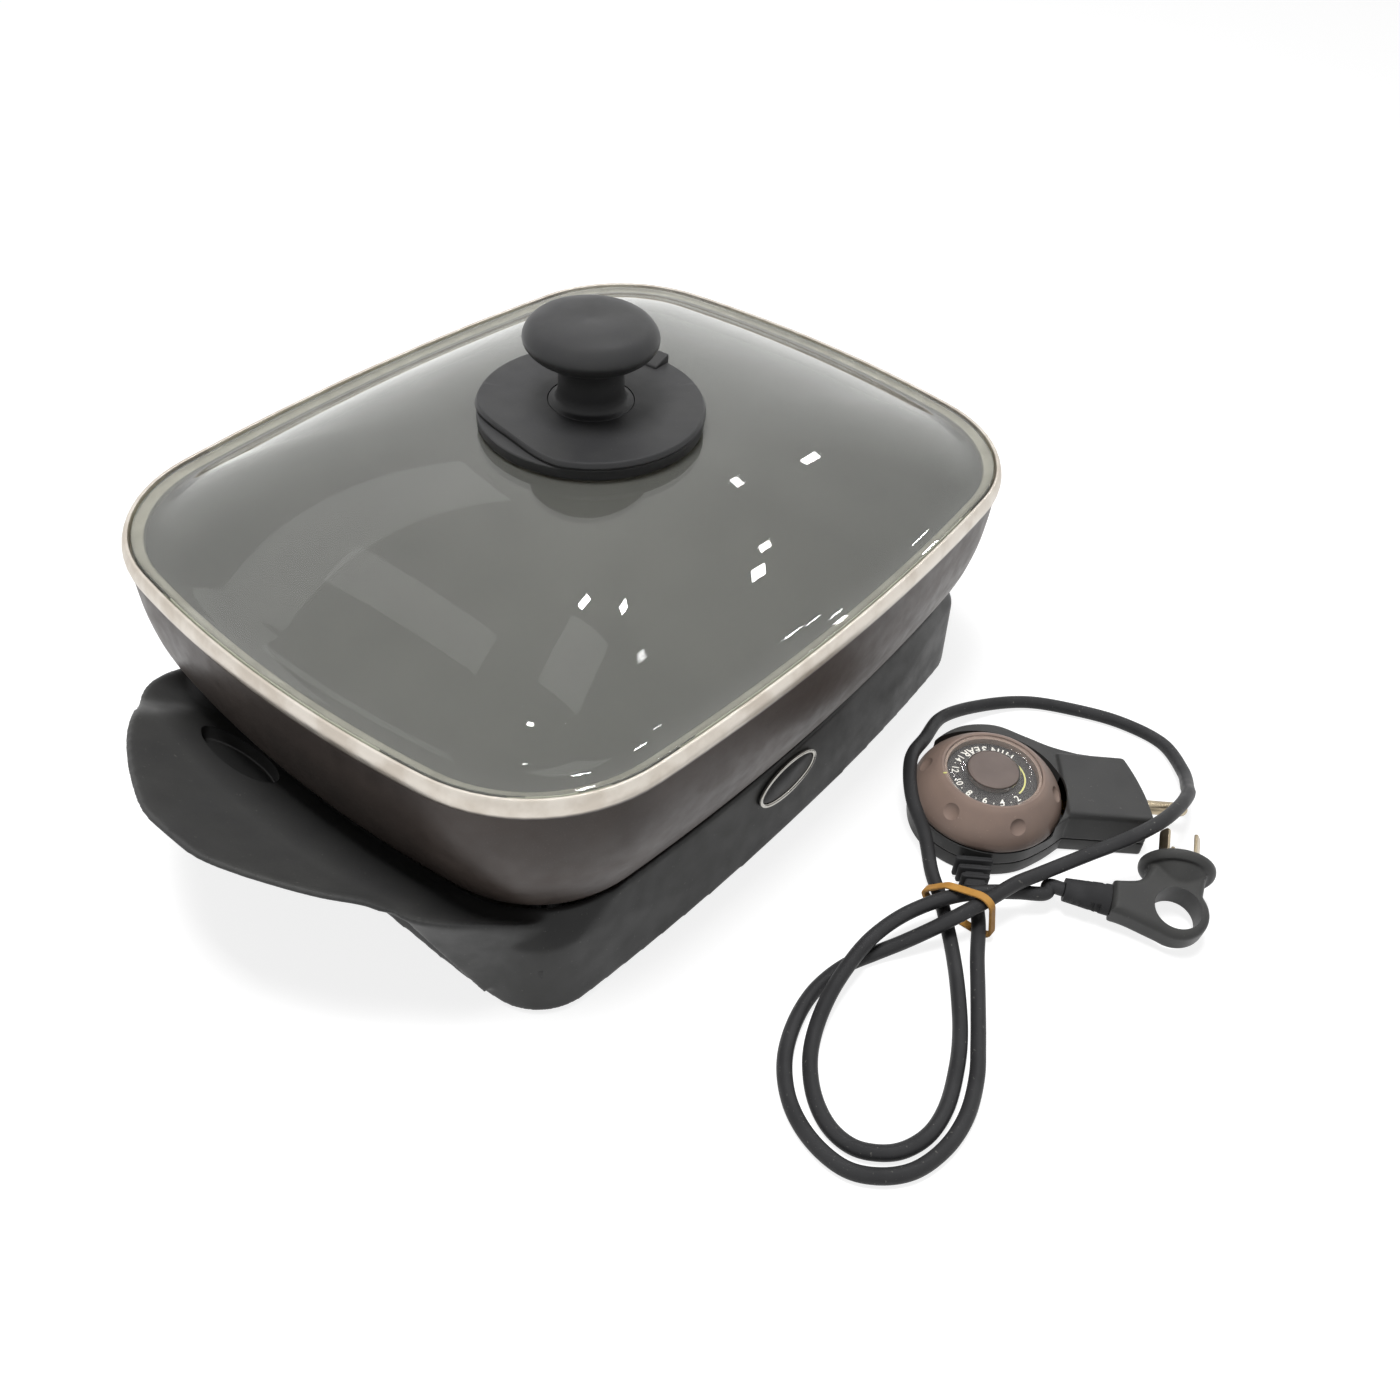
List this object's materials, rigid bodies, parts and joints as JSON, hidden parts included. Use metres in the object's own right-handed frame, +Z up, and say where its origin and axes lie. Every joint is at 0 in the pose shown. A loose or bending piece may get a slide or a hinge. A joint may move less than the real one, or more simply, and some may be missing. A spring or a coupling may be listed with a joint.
{
  "type": "electric skillet",
  "caption": "Rectangular electric skillet with a domed glass lid, a lift handle wing at each end and a plug-in thermostat probe on a mains lead.",
  "frame": {"origin": "on the table, under the middle of the footprint of the skillet and the probe beside it, the lead left out", "axes": "+X along the long side of the pan towards the right-hand wing, +Y towards the back with the inlet, +Z up"},
  "size_m": [0.5056, 0.5027, 0.2294],
  "materials": {
    "pan_coat": "cast, dark brown non-stick coat",
    "black_moulding": "satin moulded",
    "knob_moulding": "smooth moulded",
    "dial_moulding": "satin moulded taupe",
    "bright_steel": "bright plated",
    "dull_steel": "plain",
    "contact_brass": "plain",
    "soft_rubber": "matt",
    "silicone": "soft seal",
    "insulator": "pale heat-proof moulding",
    "lead_jacket": "flexible jacket",
    "tie_rubber": "tan band",
    "lid_glass": "clear tempered",
    "window_plastic": "clear",
    "lamp_amber": "clear amber"
  },
  "bodies": {
    "skillet": {"pan_body": "pan_coat", "heating_element": "dull_steel", "terminal_block": "insulator", "terminal_pin_left": "bright_steel", "terminal_pin_right": "bright_steel", "earth_blade": "bright_steel", "inlet_sleeve": "black_moulding", "base_moulding": "black_moulding", "foot_front_left": "soft_rubber", "foot_front_right": "soft_rubber", "foot_back_left": "soft_rubber", "foot_back_right": "soft_rubber", "heat_shield": "dull_steel", "clamp_screw_front_left": "dull_steel", "clamp_screw_front_right": "dull_steel", "clamp_screw_back_left": "dull_steel", "clamp_screw_back_right": "dull_steel", "badge_ring": "bright_steel", "badge_plate": "knob_moulding", "probe_lower_shell": "black_moulding", "probe_upper_shell": "black_moulding", "scale_disc": "knob_moulding", "centre_cap": "knob_moulding", "sensing_rod": "bright_steel", "rod_collar": "contact_brass", "nose_wall": "insulator", "contact_sleeve_near": "contact_brass", "contact_sleeve_far": "contact_brass", "thermostat_frame": "dull_steel", "contact_blade_fixed": "contact_brass", "contact_blade_moving": "contact_brass", "blade_spacer": "insulator", "signal_lamp": "lamp_amber", "shell_screw_1": "dull_steel", "shell_screw_2": "dull_steel", "shell_screw_3": "dull_steel", "probe_relief": "soft_rubber", "plug_body": "black_moulding", "plug_pin_left": "bright_steel", "plug_pin_right": "bright_steel", "plug_pin_earth": "bright_steel", "plug_relief": "soft_rubber", "power_cord": "lead_jacket", "cord_tie": "tie_rubber"},
    "lid": {"lid_glass": "lid_glass", "knob_gasket": "silicone", "knob_disc": "knob_moulding", "knob_stem": "knob_moulding", "knob_cap": "knob_moulding", "knob_washer": "bright_steel", "knob_screw": "bright_steel"},
    "vent": {"vent_ring": "knob_moulding"},
    "dial": {"dial_ring": "dial_moulding", "dial_window": "window_plastic"}
  },
  "joints": [
    {"name": "lid_lift", "type": "slide", "parent": "skillet", "child": "lid", "axis": [0, 0, 1], "range_m": [0, 0.15]},
    {"name": "vent_turn", "type": "hinge", "parent": "lid", "child": "vent", "pos_m": [0, 0.06998, 0.187], "axis": [0, 0, 1], "range_deg": [-43, 0]},
    {"name": "dial_turn", "type": "hinge", "parent": "skillet", "child": "dial", "pos_m": [0.0683, -0.14682, 0.025], "axis": [0, 0, 1], "range_deg": [-88, 218]}
  ]
}
